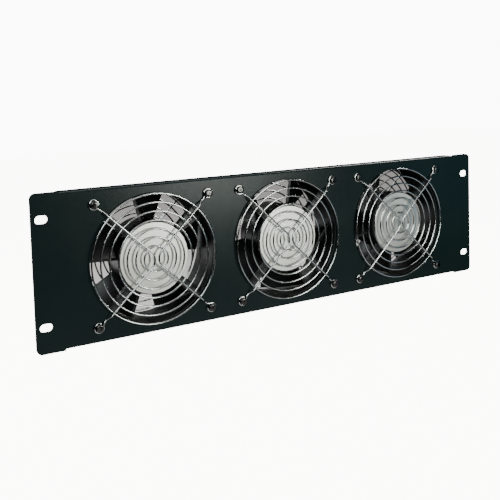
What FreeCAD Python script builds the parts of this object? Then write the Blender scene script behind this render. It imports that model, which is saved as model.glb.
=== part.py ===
"""Rack fan tray: a 3U 19 inch panel that carries three 120 mm AC axial fans.

The part frame has +X to the right, +Y to the rear and +Z up.  The origin is the
centre of the four rack slots, on the rear face of the panel, which is the face
that seats on the rack rails.  Lengths are millimetres.
"""

import FreeCAD, Part
import math
import os

import Sketcher
from FreeCAD import Placement, Rotation, Vector

SIZES = (
    # front panel: three fans and their gaps between two ears make it 482.6 wide,
    # and one fan and its margins make it 132.5 high
    ("ear_width", 44.8),
    ("fan_margin", 6.75),
    ("panel_thickness", 2.0),
    ("panel_corner_radius", 5.0),
    ("slot_from_end", 8.75),
    ("slot_from_edge", 21.8),
    ("slot_length", 10.5),
    ("slot_height", 7.0),
    ("flange_depth", 12.0),
    ("flange_setback", 24.0),
    ("flange_drop", 0.9),
    ("flange_bend_radius", 1.8),
    # fans and how they sit on the panel
    ("fan_gap", 18.0),
    ("cutout_margin", 0.3),
    ("fan_depth", 38.0),
    ("fan_hole_inset", 7.1),
    ("fan_hole_radius", 2.25),
    ("frame_corner_radius", 4.5),
    ("frame_flange_thickness", 5.0),
    ("duct_radius", 57.5),
    ("duct_side_wall", 2.0),
    ("duct_wall", 3.0),
    ("duct_mouth_chamfer", 1.2),
    ("strut_width", 5.5),
    ("strut_depth", 4.0),
    # motor
    ("motor_base_radius", 32.4),
    ("motor_base_thickness", 4.0),
    ("disc_radius", 31.4),
    ("disc_thickness", 1.5),
    ("bearing_tube_radius", 6.0),
    ("bearing_tube_bore", 4.5),
    ("bearing_tube_back_gap", 9.0),
    ("bearing_length", 6.0),
    ("shaft_radius", 1.5),
    ("shaft_clearance", 0.05),
    ("press_clearance", 0.02),
    ("clip_radius", 3.2),
    ("clip_thickness", 0.8),
    ("clip_play", 0.4),
    ("core_start", 11.0),
    ("core_length", 13.0),
    ("core_ring_wall", 5.0),
    ("pole_width", 8.0),
    ("pole_shoe_width", 24.0),
    ("pole_shoe_start", 21.5),
    ("pole_reach", 24.5),
    ("coil_wall", 4.0),
    ("coil_clearance", 0.15),
    ("coil_end_gap", 0.5),
    # rotor and impeller
    ("rotor_gap", 2.0),
    ("rotor_back_gap", 1.5),
    ("rotor_cup_radius", 29.5),
    ("rotor_cup_wall", 1.2),
    ("rotor_cup_end", 1.5),
    ("rotor_boss_radius", 4.0),
    ("rotor_boss_length", 4.5),
    ("hub_wall", 2.0),
    ("hub_lip_thickness", 1.0),
    ("hub_lip_bore", 24.0),
    ("blade_count", 5),
    ("blade_inset", 2.0),
    ("blade_back_inset", 2.5),
    ("blade_half_angle", 19.0),
    ("blade_tip_gap", 1.7),
    ("blade_root_thickness", 2.6),
    ("blade_tip_thickness", 2.8),
    ("blade_camber_radius", 60.0),
    ("left_fan_phase", 14.0),
    ("centre_fan_phase", 61.0),
    ("right_fan_phase", 31.0),
    # wire finger guards
    ("ring_wire_diameter", 1.6),
    ("spoke_wire_diameter", 1.9),
    ("wire_sides", 6),
    ("ring_first_radius", 11.0),
    ("ring_edge_inset", 0.3),
    ("guard_height", 3.3),
    ("weld_gap", 0.02),
    ("spoke_centre_gap", 1.9),
    ("spoke_centre_bend", 10.0),
    ("step_start_from_screw", 13.6),
    ("step_end_from_screw", 9.1),
    ("spoke_step_bend", 2.0),
    ("eyelet_radius", 3.9),
    ("eyelet_lead_bend", 4.0),
    ("eyelet_turn", 310.0),
    # fasteners
    ("screw_head_radius", 3.6),
    ("screw_head_height", 2.3),
    ("screw_shank_radius", 1.95),
    ("screw_end", 1.4),
    ("nut_across_flats", 7.0),
    ("nut_thickness", 3.2),
    ("nut_clearance", 0.02),
    # terminals
    ("block_width", 16.0),
    ("block_height", 9.0),
    ("block_depth", 14.0),
    ("block_seat_gap", 0.1),
    ("blade_terminal_width", 2.8),
    ("blade_terminal_thickness", 0.5),
    ("blade_terminal_reach", 6.5),
    ("blade_terminal_root", 4.0),
    ("blade_terminal_spacing", 8.0),
    ("blade_terminal_clearance", 0.05),
)

RING_COUNT = 7
FAN_NAMES = ("left", "centre", "right")


class Size:
    """A length with its present value and its expression over the sheet."""

    def __init__(self, value, text):
        self.value = value
        self.text = text

    @staticmethod
    def of(other):
        """Return other as a Size, wrapping a plain number."""
        if isinstance(other, Size):
            return other
        return Size(float(other), repr(float(other)))

    def combined(self, other, sign, value):
        """Return the Size that an arithmetic sign makes of two Sizes."""
        return Size(value, "({} {} {})".format(self.text, sign, other.text))

    def __add__(self, other):
        other = Size.of(other)
        return self.combined(other, "+", self.value + other.value)

    def __sub__(self, other):
        other = Size.of(other)
        return self.combined(other, "-", self.value - other.value)

    def __mul__(self, other):
        other = Size.of(other)
        return self.combined(other, "*", self.value * other.value)

    def __truediv__(self, other):
        other = Size.of(other)
        return self.combined(other, "/", self.value / other.value)

    def __neg__(self):
        return self * -1


NOTHING = Size.of(0)


def make_sheet(doc):
    """Write the driving dimensions to a spreadsheet and return them as Sizes."""
    sheet = doc.addObject("Spreadsheet::Sheet", "Sizes")
    found = {}
    for row, (alias, value) in enumerate(SIZES, start=1):
        cell = "B{}".format(row)
        sheet.set("A{}".format(row), alias.replace("_", " "))
        sheet.set(cell, str(value))
        sheet.setAlias(cell, alias)
        found[alias] = Size(float(value), "Sizes.{}".format(alias))
    doc.recompute()
    return found


def bind(thing, field, size):
    """Bind one property of a document object to the sheet."""
    thing.setExpression(field, Size.of(size).text)


def fan_half(s):
    """Return half the width of a fan's square frame."""
    return s["duct_radius"] + s["duct_side_wall"]


def fan_pitch(s):
    """Return the distance between the axes of two neighbouring fans."""
    return fan_half(s) * 2 + s["fan_gap"]


def hole_offset(s):
    """Return how far a fan's screws lie from its axis, across and up."""
    return fan_half(s) - s["fan_hole_inset"]


# ---------------------------------------------------------------- sketches


def origin_part(body, role):
    """Return the plane or axis of a body's own origin that has this role."""
    for feature in body.Origin.OriginFeatures:
        if feature.Role == role:
            return feature
    raise ValueError(role)


def make_sketch(body, name, role, shift=(0, 0, 0), turn=0.0):
    """Add a sketch on one of the body's origin planes, shifted and turned in it."""
    sketch = body.newObject("Sketcher::SketchObject", name)
    sketch.AttachmentSupport = [(origin_part(body, role), "")]
    sketch.MapMode = "FlatFace"
    sketch.AttachmentOffset = Placement(Vector(), Rotation(Vector(0, 0, 1), turn))
    for letter, amount in zip("xyz", shift):
        if isinstance(amount, Size):
            bind(sketch, "AttachmentOffset.Base.{}".format(letter), amount)
    return sketch


def hold(sketch, kind, references, size):
    """Add one dimension to a sketch and bind it to the sheet."""
    size = Size.of(size)
    index = sketch.addConstraint(Sketcher.Constraint(kind, *references, size.value))
    sketch.setExpression("Constraints[{}]".format(index), size.text)


def pin(sketch, edge, point, across, up):
    """Fix one point of a sketch edge at a distance from the sketch's origin."""
    hold(sketch, "DistanceX", (-1, 1, edge, point), across)
    hold(sketch, "DistanceY", (-1, 1, edge, point), up)


def draw_polygon(sketch, corners):
    """Draw a closed polygon whose corners are pairs of Sizes."""
    points = [(Size.of(across), Size.of(up)) for across, up in corners]
    edges = []
    for index, (across, up) in enumerate(points):
        far_across, far_up = points[(index + 1) % len(points)]
        start = Vector(across.value, up.value, 0)
        end = Vector(far_across.value, far_up.value, 0)
        edges.append(sketch.addGeometry(Part.LineSegment(start, end), False))
    for index, edge in enumerate(edges):
        following = edges[(index + 1) % len(edges)]
        sketch.addConstraint(Sketcher.Constraint("Coincident", edge, 2, following, 1))
    for edge, (across, up) in zip(edges, points):
        pin(sketch, edge, 1, across, up)


def draw_rectangle(sketch, left, right, bottom, top):
    """Draw an upright rectangle from its four sides."""
    draw_polygon(sketch, ((left, bottom), (right, bottom), (right, top), (left, top)))


def draw_circle(sketch, across, up, radius):
    """Draw one circle."""
    centre = Vector(Size.of(across).value, Size.of(up).value, 0)
    circle = Part.Circle(centre, Vector(0, 0, 1), Size.of(radius).value)
    edge = sketch.addGeometry(circle, False)
    pin(sketch, edge, 3, across, up)
    hold(sketch, "Radius", (edge,), radius)


def draw_slot(sketch, across, up, length, height):
    """Draw a level slot: two half circles joined by two straight sides."""
    radius = height / 2
    offset = length / 2 - radius
    ends = []
    for side, first in ((-1, math.pi / 2), (1, -math.pi / 2)):
        centre_x = across + offset * side
        centre = Vector(centre_x.value, up.value, 0)
        circle = Part.Circle(centre, Vector(0, 0, 1), radius.value)
        arc = Part.ArcOfCircle(circle, first, first + math.pi)
        edge = sketch.addGeometry(arc, False)
        pin(sketch, edge, 3, centre_x, up)
        hold(sketch, "Radius", (edge,), radius)
        sketch.addConstraint(Sketcher.Constraint("Vertical", edge, 1, edge, 3))
        sketch.addConstraint(Sketcher.Constraint("Vertical", edge, 2, edge, 3))
        ends.append(edge)
    left, right = ends
    for arc_point, other_point, height_sign in ((1, 2, 1), (2, 1, -1)):
        level = up.value + radius.value * height_sign
        start = Vector((across - offset).value, level, 0)
        end = Vector((across + offset).value, level, 0)
        side = sketch.addGeometry(Part.LineSegment(start, end), False)
        sketch.addConstraint(Sketcher.Constraint("Coincident", left, arc_point, side, 1))
        sketch.addConstraint(Sketcher.Constraint("Coincident", right, other_point, side, 2))


def draw_bowed_strip(sketch, near, far, rise, thickness, radius):
    """Draw the section of a cambered plate between near and far along the sketch's X.

    The plate falls from +rise to -rise, is thickness tall at both ends, and its
    two long sides are arcs of the same radius.
    """
    half = thickness / 2
    sides = []
    for offset in (half, -half):
        start = Vector(near.value, (rise + offset).value, 0)
        end = Vector(far.value, (offset - rise).value, 0)
        chord = end - start
        middle = (start + end) * 0.5
        normal = Vector(-chord.y, chord.x, 0).normalize()
        drop = math.sqrt(radius.value**2 - (chord.Length / 2) ** 2)
        centre = middle - normal * drop
        first = math.atan2(end.y - centre.y, end.x - centre.x)
        last = math.atan2(start.y - centre.y, start.x - centre.x)
        circle = Part.Circle(centre, Vector(0, 0, 1), radius.value)
        edge = sketch.addGeometry(Part.ArcOfCircle(circle, first, last), False)
        pin(sketch, edge, 2, near, rise + offset)
        pin(sketch, edge, 1, far, offset - rise)
        hold(sketch, "Radius", (edge,), radius)
        sides.append(edge)
    upper, lower = sides
    for point in (1, 2):
        start = sketch.getPoint(upper, point)
        end = sketch.getPoint(lower, point)
        cap = sketch.addGeometry(Part.LineSegment(start, end), False)
        sketch.addConstraint(Sketcher.Constraint("Coincident", upper, point, cap, 1))
        sketch.addConstraint(Sketcher.Constraint("Coincident", lower, point, cap, 2))


# ---------------------------------------------------------------- features


def add_pad(body, sketch, length, to_rear=True):
    """Pad a sketch of the XZ plane towards the rear or towards the front."""
    pad = body.newObject("PartDesign::Pad", sketch.Name + "Pad")
    pad.Profile = sketch
    pad.Reversed = to_rear
    bind(pad, "Length", length)
    return pad


def add_cut(body, sketch, length=None):
    """Cut a sketch of the XZ plane right through both ways, or to the rear only."""
    before = body.Shape.Volume
    pocket = body.newObject("PartDesign::Pocket", sketch.Name + "Cut")
    pocket.Profile = sketch
    if length is None:
        pocket.Type = "ThroughAll"
        pocket.Midplane = True
    else:
        pocket.Reversed = False
        bind(pocket, "Length", length)
    body.Document.recompute()
    if body.Shape.Volume > before - 1e-3:
        raise RuntimeError(pocket.Name + " cuts nothing")
    return pocket


def add_turned(body, sketch, kind):
    """Turn a sketch of the XY plane a full circle about its own vertical axis."""
    turned = body.newObject("PartDesign::" + kind, sketch.Name + kind)
    turned.Profile = sketch
    turned.ReferenceAxis = (sketch, ["V_Axis"])
    turned.Angle = 360
    return turned


def add_ring_of(body, feature, count):
    """Repeat a feature round the body's Y axis and make the pattern its tip."""
    pattern = body.newObject("PartDesign::PolarPattern", feature.Name + "Ring")
    pattern.Originals = [feature]
    pattern.Axis = (origin_part(body, "Y_Axis"), [""])
    pattern.Angle = 360
    bind(pattern, "Occurrences", count)
    body.Tip = pattern
    body.Document.recompute()
    return pattern


def edge_names(shape, wanted):
    """Return the names of the edges for which wanted(edge) is true."""
    found = []
    for index, edge in enumerate(shape.Edges, start=1):
        if wanted(edge):
            found.append("Edge{}".format(index))
    return found


def add_edge_finish(body, kind, wanted, size):
    """Fillet or chamfer the edges of the body that wanted(edge) picks."""
    base = body.Tip
    finish = body.newObject("PartDesign::" + kind, body.Name + base.Name + kind)
    finish.Base = (base, edge_names(base.Shape, wanted))
    bind(finish, "Radius" if kind == "Fillet" else "Size", size)
    body.Document.recompute()
    return finish


def runs_along(edge, axis):
    """Tell whether an edge is straight and parallel to an axis."""
    if not isinstance(edge.Curve, Part.Line):
        return False
    return abs(abs(edge.Curve.Direction.dot(axis)) - 1) < 1e-6


def new_body(doc, label):
    """Add an empty body whose label names its file."""
    body = doc.addObject("PartDesign::Body", "Body_" + label)
    body.Label = label
    return body


def primitive(doc, kind, name, sizes, corner=(0, 0, 0), rotation=None):
    """Add a Part primitive with bound sizes and a bound position."""
    thing = doc.addObject("Part::" + kind, name)
    thing.Placement = Placement(Vector(), rotation or Rotation())
    for field, size in sizes.items():
        bind(thing, field, size)
    for letter, amount in zip("xyz", corner):
        bind(thing, "Placement.Base." + letter, amount)
    return thing


ALONG_Y = Rotation(Vector(1, 0, 0), -90)


def rod(doc, name, radius, start, length):
    """Add a cylinder along +Y from start."""
    return primitive(
        doc, "Cylinder", name, {"Radius": radius, "Height": length}, (0, start, 0), ALONG_Y
    )


def difference(doc, name, base, tool):
    """Add the cut of two objects."""
    cut = doc.addObject("Part::Cut", name)
    cut.Base = base
    cut.Tool = tool
    return cut


def group(doc, label, members):
    """Add a compound of separate solids."""
    compound = doc.addObject("Part::Compound", "Group_" + label)
    compound.Links = members
    compound.Label = label
    return compound


def settle(thing, across, depth=NOTHING, rotation=None):
    """Place a finished sub-part at its fan and depth."""
    thing.Placement = Placement(Vector(), rotation or Rotation())
    bind(thing, "Placement.Base.x", across)
    bind(thing, "Placement.Base.y", depth)
    return thing


# ---------------------------------------------------------------- front panel


def make_front_panel(doc, s, fan_places):
    """Make the sheet panel with its ears, return flanges, cut-outs and holes."""
    body = new_body(doc, "front_panel")
    half_width = fan_pitch(s) + fan_half(s) + s["ear_width"]
    half_height = fan_half(s) + s["fan_margin"]
    flange_end = half_width - s["flange_setback"]
    flange_top = half_height - s["flange_drop"]
    thickness = s["panel_thickness"]

    sketch = make_sketch(body, "PanelOutline", "XZ_Plane")
    draw_rectangle(sketch, -half_width, half_width, -half_height, half_height)
    add_pad(body, sketch, thickness, to_rear=False)
    doc.recompute()
    add_edge_finish(
        body, "Fillet", lambda edge: runs_along(edge, Vector(0, 1, 0)), s["panel_corner_radius"]
    )

    sketch = make_sketch(body, "PanelRelief", "XZ_Plane")
    beyond = half_height + s["panel_thickness"]
    draw_rectangle(sketch, -flange_end, flange_end, flange_top, beyond)
    draw_rectangle(sketch, -flange_end, flange_end, -beyond, -flange_top)
    add_cut(body, sketch)

    sketch = make_sketch(body, "PanelFlanges", "XZ_Plane")
    draw_rectangle(sketch, -flange_end, flange_end, flange_top - thickness, flange_top)
    draw_rectangle(sketch, -flange_end, flange_end, -flange_top, thickness - flange_top)
    add_pad(body, sketch, s["flange_depth"])
    doc.recompute()

    def is_outer_bend(edge):
        if not runs_along(edge, Vector(1, 0, 0)):
            return False
        middle = edge.CenterOfMass
        at_front = abs(middle.y + thickness.value) < 1e-3
        return at_front and abs(abs(middle.z) - flange_top.value) < 1e-3 and abs(middle.x) < 1e-3

    add_edge_finish(body, "Fillet", is_outer_bend, s["flange_bend_radius"])

    sketch = make_sketch(body, "PanelCutouts", "XZ_Plane")
    offset = hole_offset(s)
    for place in fan_places:
        draw_circle(sketch, place, NOTHING, s["duct_radius"] + s["cutout_margin"])
        for across in (offset, -offset):
            for up in (offset, -offset):
                draw_circle(sketch, place + across, up, s["fan_hole_radius"])
    add_cut(body, sketch)

    sketch = make_sketch(body, "PanelSlots", "XZ_Plane")
    for side in (-1, 1):
        for level in (-1, 1):
            across = (half_width - s["slot_from_end"]) * side
            up = (half_height - s["slot_from_edge"]) * level
            draw_slot(sketch, across, up, s["slot_length"], s["slot_height"])
    add_cut(body, sketch)
    return body


# ---------------------------------------------------------------- fan housing


def make_fan_frame(doc, s, name):
    """Make the cast frame: two square flanges, duct, struts, motor base and bearing tube."""
    body = new_body(doc, "fan_frame_" + name)
    half = fan_half(s)
    depth = s["fan_depth"]
    flange = s["frame_flange_thickness"]
    barrel = s["duct_radius"] + s["duct_wall"]

    sketch = make_sketch(body, "FrameSquare_" + name, "XZ_Plane")
    draw_rectangle(sketch, -half, half, -half, half)
    add_pad(body, sketch, depth)
    doc.recompute()
    add_edge_finish(
        body, "Fillet", lambda edge: runs_along(edge, Vector(0, 1, 0)), s["frame_corner_radius"]
    )

    sketch = make_sketch(body, "FrameWaist_" + name, "XY_Plane")
    draw_rectangle(sketch, barrel, half * 1.5, flange, depth - flange)
    add_turned(body, sketch, "Groove")

    sketch = make_sketch(body, "FrameDuct_" + name, "XZ_Plane")
    draw_circle(sketch, NOTHING, NOTHING, s["duct_radius"])
    offset = hole_offset(s)
    for across in (offset, -offset):
        for up in (offset, -offset):
            draw_circle(sketch, across, up, s["fan_hole_radius"])
    doc.recompute()
    add_cut(body, sketch)

    def is_duct_mouth(edge):
        if not isinstance(edge.Curve, Part.Circle):
            return False
        return abs(edge.Curve.Radius - s["duct_radius"].value) < 1e-3

    add_edge_finish(body, "Chamfer", is_duct_mouth, s["duct_mouth_chamfer"])

    sketch = make_sketch(body, "FrameStrut_" + name, "XZ_Plane", turn=45)
    strut_root = s["motor_base_radius"] - s["strut_width"] / 2
    strut_tip = s["duct_radius"] + s["duct_wall"] / 2
    draw_rectangle(sketch, strut_root, strut_tip, -(s["strut_width"] / 2), s["strut_width"] / 2)
    strut = add_pad(body, sketch, s["strut_depth"] + s["duct_mouth_chamfer"])
    doc.recompute()
    add_ring_of(body, strut, Size.of(4))

    sketch = make_sketch(body, "FrameBase_" + name, "XZ_Plane")
    draw_circle(sketch, NOTHING, NOTHING, s["motor_base_radius"])
    add_pad(body, sketch, s["motor_base_thickness"])

    sketch = make_sketch(body, "FrameTube_" + name, "XZ_Plane")
    draw_circle(sketch, NOTHING, NOTHING, s["bearing_tube_radius"])
    add_pad(body, sketch, bearing_tube_back(s))
    doc.recompute()

    sketch = make_sketch(body, "FrameBore_" + name, "XZ_Plane")
    draw_circle(sketch, NOTHING, NOTHING, s["bearing_tube_bore"])
    add_cut(body, sketch)
    return body


def make_motor_disc(doc, s, name):
    """Make the blank bright disc that closes the front of the motor base."""
    disc = rod(doc, "Disc_" + name, s["disc_radius"], NOTHING, s["disc_thickness"])
    disc.Label = "motor_disc_" + name
    return disc


# ---------------------------------------------------------------- motor


def make_stator_core(doc, s, name):
    """Make the lamination stack: a ring on the bearing tube and four shoed poles."""
    body = new_body(doc, "stator_core_" + name)
    bore = s["bearing_tube_radius"] + s["press_clearance"]
    ring = bore + s["core_ring_wall"]
    half = s["pole_width"] / 2
    shoe = s["pole_shoe_width"] / 2

    sketch = make_sketch(body, "CorePole_" + name, "XZ_Plane")
    draw_polygon(
        sketch,
        (
            (-half, ring - s["core_ring_wall"] / 2),
            (half, ring - s["core_ring_wall"] / 2),
            (half, s["pole_shoe_start"]),
            (shoe, s["pole_shoe_start"]),
            (shoe, s["pole_reach"]),
            (-shoe, s["pole_reach"]),
            (-shoe, s["pole_shoe_start"]),
            (-half, s["pole_shoe_start"]),
        ),
    )
    pole = add_pad(body, sketch, s["core_length"])
    doc.recompute()
    add_ring_of(body, pole, Size.of(4))

    sketch = make_sketch(body, "CoreRing_" + name, "XZ_Plane")
    draw_circle(sketch, NOTHING, NOTHING, ring)
    add_pad(body, sketch, s["core_length"])
    doc.recompute()

    sketch = make_sketch(body, "CoreBore_" + name, "XZ_Plane")
    draw_circle(sketch, NOTHING, NOTHING, bore)
    add_cut(body, sketch)
    return body


def make_stator_coils(doc, s, name):
    """Make one wound coil round each pole neck."""
    hole = s["pole_width"] + s["coil_clearance"] * 2
    hole_length = s["core_length"] + s["coil_clearance"] * 2
    wall = s["coil_wall"]
    base = s["bearing_tube_radius"] + s["press_clearance"] + s["core_ring_wall"] + s["coil_end_gap"]
    height = s["pole_shoe_start"] - s["coil_end_gap"] - base
    coils = []
    for index in range(4):
        label = "{}_{}".format(name, index)
        outer = primitive(
            doc,
            "Box",
            "CoilOuter_" + label,
            {"Length": hole + wall * 2, "Width": hole_length + wall * 2, "Height": height},
            (-(hole / 2 + wall), -(s["coil_clearance"] + wall), base),
        )
        inner = primitive(
            doc,
            "Box",
            "CoilInner_" + label,
            {"Length": hole, "Width": hole_length, "Height": height},
            (-(hole / 2), -s["coil_clearance"], base),
        )
        coil = difference(doc, "Coil_" + label, outer, inner)
        coil.Placement = Placement(Vector(), Rotation(Vector(0, 1, 0), 90 * index))
        coils.append(coil)
    return group(doc, "stator_coils_" + name, coils)


def make_bearings(doc, s, name):
    """Make the two sleeve bearings of one fan, at the two ends of the tube."""
    outer = s["bearing_tube_bore"] - s["press_clearance"]
    inner = s["shaft_radius"] + s["shaft_clearance"]
    starts = (s["motor_base_thickness"], bearing_tube_back(s) - s["bearing_length"])
    sleeves = []
    for index, start in enumerate(starts):
        label = "{}_{}".format(name, index)
        sleeve = rod(doc, "Sleeve_" + label, outer, start, s["bearing_length"])
        bore = rod(doc, "SleeveBore_" + label, inner, start, s["bearing_length"])
        sleeves.append(difference(doc, "Bearing_" + label, sleeve, bore))
    return group(doc, "bearings_" + name, sleeves)


def make_rotor_shaft(doc, s, name):
    """Make the shaft, from just before its clip to the back of the rotor cup."""
    start = s["motor_base_thickness"] - s["clip_play"] - s["clip_thickness"] * 2
    shaft = rod(doc, "Shaft_" + name, s["shaft_radius"], start, rotor_back(s) - start)
    shaft.Label = "rotor_shaft_" + name
    return shaft


def make_shaft_clip(doc, s, name):
    """Make the retaining clip that keeps the shaft in its bearings."""
    start = s["motor_base_thickness"] - s["clip_play"] - s["clip_thickness"]
    outer = rod(doc, "ClipOuter_" + name, s["clip_radius"], start, s["clip_thickness"])
    bore = rod(
        doc, "ClipBore_" + name, s["shaft_radius"] + s["press_clearance"], start, s["clip_thickness"]
    )
    clip = difference(doc, "Clip_" + name, outer, bore)
    clip.Label = "shaft_clip_" + name
    return clip


def bearing_tube_back(s):
    """Return the depth of the back end of the bearing tube."""
    return s["fan_depth"] - s["bearing_tube_back_gap"]


def rotor_front(s):
    """Return the depth of the front rim of the rotor."""
    return s["motor_base_thickness"] + s["rotor_gap"]


def rotor_back(s):
    """Return the depth of the back face of the rotor cup."""
    return s["fan_depth"] - s["rotor_back_gap"]


def make_rotor_cup(doc, s, name):
    """Make the turned steel cup that runs round the stator."""
    body = new_body(doc, "rotor_cup_" + name)
    bore = s["shaft_radius"] + s["press_clearance"]
    outer = s["rotor_cup_radius"]
    inner = outer - s["rotor_cup_wall"]
    back = rotor_back(s)
    floor = back - s["rotor_cup_end"]
    sketch = make_sketch(body, "Cup_" + name, "XY_Plane")
    draw_polygon(
        sketch,
        (
            (bore, floor - s["rotor_boss_length"]),
            (s["rotor_boss_radius"], floor - s["rotor_boss_length"]),
            (s["rotor_boss_radius"], floor),
            (inner, floor),
            (inner, rotor_front(s)),
            (outer, rotor_front(s)),
            (outer, back),
            (bore, back),
        ),
    )
    add_turned(body, sketch, "Revolution")
    return body


def make_impeller(doc, s, name):
    """Make the moulded impeller: a hub on the rotor cup and twisted square-ended blades."""
    body = new_body(doc, "impeller_" + name)
    bore = s["rotor_cup_radius"] + s["press_clearance"]
    hub = bore + s["hub_wall"]
    tip = s["duct_radius"] - s["blade_tip_gap"]
    front = rotor_front(s)
    back = rotor_back(s) + s["press_clearance"]
    near = front + s["blade_inset"]
    far = rotor_back(s) - s["blade_back_inset"]
    spread = math.tan(math.radians(s["blade_half_angle"].value))

    sketch = make_sketch(body, "Hub_" + name, "XY_Plane")
    hub_end = back + s["hub_lip_thickness"]
    draw_rectangle(sketch, s["hub_lip_bore"], hub, front, hub_end)
    add_turned(body, sketch, "Revolution")
    doc.recompute()

    angle = "tan({} * 1 deg)".format(s["blade_half_angle"].text)
    slope = Size(spread, angle)
    sections = []
    places = (("Root", bore - s["hub_wall"] / 4), ("Tip", tip + s["hub_wall"] / 2))
    for end, radius in places:
        sketch = make_sketch(body, "Blade{}_{}".format(end, name), "YZ_Plane", (0, 0, radius))
        thickness = s["blade_{}_thickness".format(end.lower())]
        draw_bowed_strip(
            sketch, near, far, radius * slope, thickness, s["blade_camber_radius"]
        )
        sections.append(sketch)
    blade = body.newObject("PartDesign::AdditiveLoft", "Blade_" + name)
    blade.Profile = sections[0]
    blade.Sections = [sections[1]]
    blade.Ruled = True
    doc.recompute()
    add_ring_of(body, blade, s["blade_count"])

    sketch = make_sketch(body, "TipTrim_" + name, "XY_Plane")
    draw_rectangle(sketch, tip, tip * 1.5, front, back)
    add_turned(body, sketch, "Groove")
    doc.recompute()

    sketch = make_sketch(body, "HubBore_" + name, "XY_Plane")
    draw_rectangle(sketch, s["hub_lip_bore"] / 2, bore, front - s["hub_wall"], back)
    add_turned(body, sketch, "Groove")
    return body


# ---------------------------------------------------------------- wire guards


def make_guard_rings(doc, s, label):
    """Make the concentric ring wires of one guard, seat plane at y = 0, rings in front."""
    rings = []
    outermost = s["duct_radius"] - s["ring_edge_inset"]
    pitch = (outermost - s["ring_first_radius"]) / (RING_COUNT - 1)
    for index in range(RING_COUNT):
        name = "{}_{}".format(label, index)
        section = doc.addObject("Part::RegularPolygon", "Section_" + name)
        bind(section, "Polygon", s["wire_sides"])
        bind(section, "Circumradius", s["ring_wire_diameter"] / 2)
        bind(section, "Placement.Base.x", s["ring_first_radius"] + pitch * index)
        bind(section, "Placement.Base.y", -s["guard_height"])
        ring = doc.addObject("Part::Revolution", "Ring_" + name)
        ring.Source = section
        ring.Axis = Vector(0, 1, 0)
        ring.Angle = 360
        ring.Solid = True
        rings.append(ring)
    return group(doc, label, rings)


def rounded(before, corner, after, radius):
    """Return the start, middle and end of the arc that rounds a corner of a path."""
    first = (before - corner).normalize()
    second = (after - corner).normalize()
    half_angle = first.getAngle(second) / 2
    reach = radius / math.tan(half_angle)
    bisector = (first + second).normalize()
    centre = corner + bisector * (radius / math.sin(half_angle))
    return corner + first * reach, centre - bisector * radius, corner + second * reach


def half_spoke_edges(s, level):
    """Return the edges of half a spoke wire, from the middle of its bend to its eyelet's end.

    The wire leaves a wide bend beside the guard's centre, runs out over the rings
    towards the upper (level 1) or lower (level -1) screw, steps down to the seat
    plane, swings to its left and turns clockwise round the screw in an open eyelet.
    """
    value = {alias: size.value for alias, size in s.items()}
    bend = value["spoke_centre_bend"]
    rings_to_spokes = (value["ring_wire_diameter"] + value["spoke_wire_diameter"]) / 2
    over_rings = -(value["guard_height"] + rings_to_spokes + value["weld_gap"])
    seated = -value["spoke_wire_diameter"] / 2
    hole = hole_offset(s).value
    bend_centre = Vector(-value["spoke_centre_gap"] - bend, over_rings, 0)
    screw = Vector(-hole, seated, hole * level)
    across = screw.x - bend_centre.x
    angle = math.atan2(hole, across) + math.asin(bend / math.hypot(across, hole))
    along = Vector(math.cos(angle), 0, math.sin(angle) * level)
    left = Vector(-along.z, 0, along.x)

    bend_start = bend_centre + Vector(bend, 0, 0)
    leave = bend_centre - left * (bend * level)
    bend_middle = bend_centre + (bend_start + leave - bend_centre * 2).normalize() * bend
    step_start = screw - along * value["step_start_from_screw"]
    step_start.y = over_rings
    step_end = screw - along * value["step_end_from_screw"]
    eyelet = eyelet_edges(value, screw, along, left)
    lead_start = eyelet[0].firstVertex().Point
    upper = rounded(leave, step_start, step_end, value["spoke_step_bend"])
    lower = rounded(step_start, step_end, lead_start, value["spoke_step_bend"])
    return [
        Part.Arc(bend_start, bend_middle, leave).toShape(),
        Part.LineSegment(leave, upper[0]).toShape(),
        Part.Arc(*upper).toShape(),
        Part.LineSegment(upper[2], lower[0]).toShape(),
        Part.Arc(*lower).toShape(),
        Part.LineSegment(lower[2], lead_start).toShape(),
    ] + eyelet


def eyelet_edges(value, screw, along, left):
    """Return the arc that leads a spoke off its line and the open eyelet round the screw."""
    lead = value["eyelet_lead_bend"]
    radius = value["eyelet_radius"]
    lead_start = screw - along * math.sqrt(radius * radius + 2 * lead * radius)
    lead_centre = lead_start + left * lead
    toward_lead = (lead_centre - screw).normalize()
    join = screw + toward_lead * radius
    lead_middle = lead_centre - (left + toward_lead).normalize() * lead
    first = math.atan2(toward_lead.z, toward_lead.x)
    turn = math.radians(value["eyelet_turn"])
    points = []
    for share in (0.5, 1.0):
        direction = first - turn * share
        points.append(screw + Vector(math.cos(direction), 0, math.sin(direction)) * radius)
    return [
        Part.Arc(lead_start, lead_middle, join).toShape(),
        Part.Arc(join, *points).toShape(),
    ]


def swept_wire(edges, s):
    """Sweep the spoke wire's section along a chain of edges."""
    path = Part.Wire(Part.__sortEdges__(edges))
    start = path.OrderedEdges[0]
    at = start.valueAt(start.FirstParameter)
    heading = start.tangentAt(start.FirstParameter)
    sides = int(round(s["wire_sides"].value))
    radius = s["spoke_wire_diameter"].value / 2
    corners = []
    for index in range(sides + 1):
        angle = 2 * math.pi * index / sides
        corners.append(Vector(math.cos(angle), math.sin(angle), 0) * radius)
    section = Part.makePolygon(corners)
    section.Placement = Placement(at, Rotation(Vector(0, 0, 1), heading))
    return path.makePipeShell([section], True, False)


def make_guard_spokes(doc, s, label):
    """Make the two bent spoke wires of one guard with their four eyelets."""
    left = swept_wire(half_spoke_edges(s, 1) + half_spoke_edges(s, -1), s)
    right = left.copy()
    right.rotate(Vector(), Vector(0, 1, 0), 180)
    spokes = doc.addObject("Part::Feature", "Spokes_" + label)
    spokes.Shape = Part.makeCompound([left, right])
    spokes.Label = label
    return spokes


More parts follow.
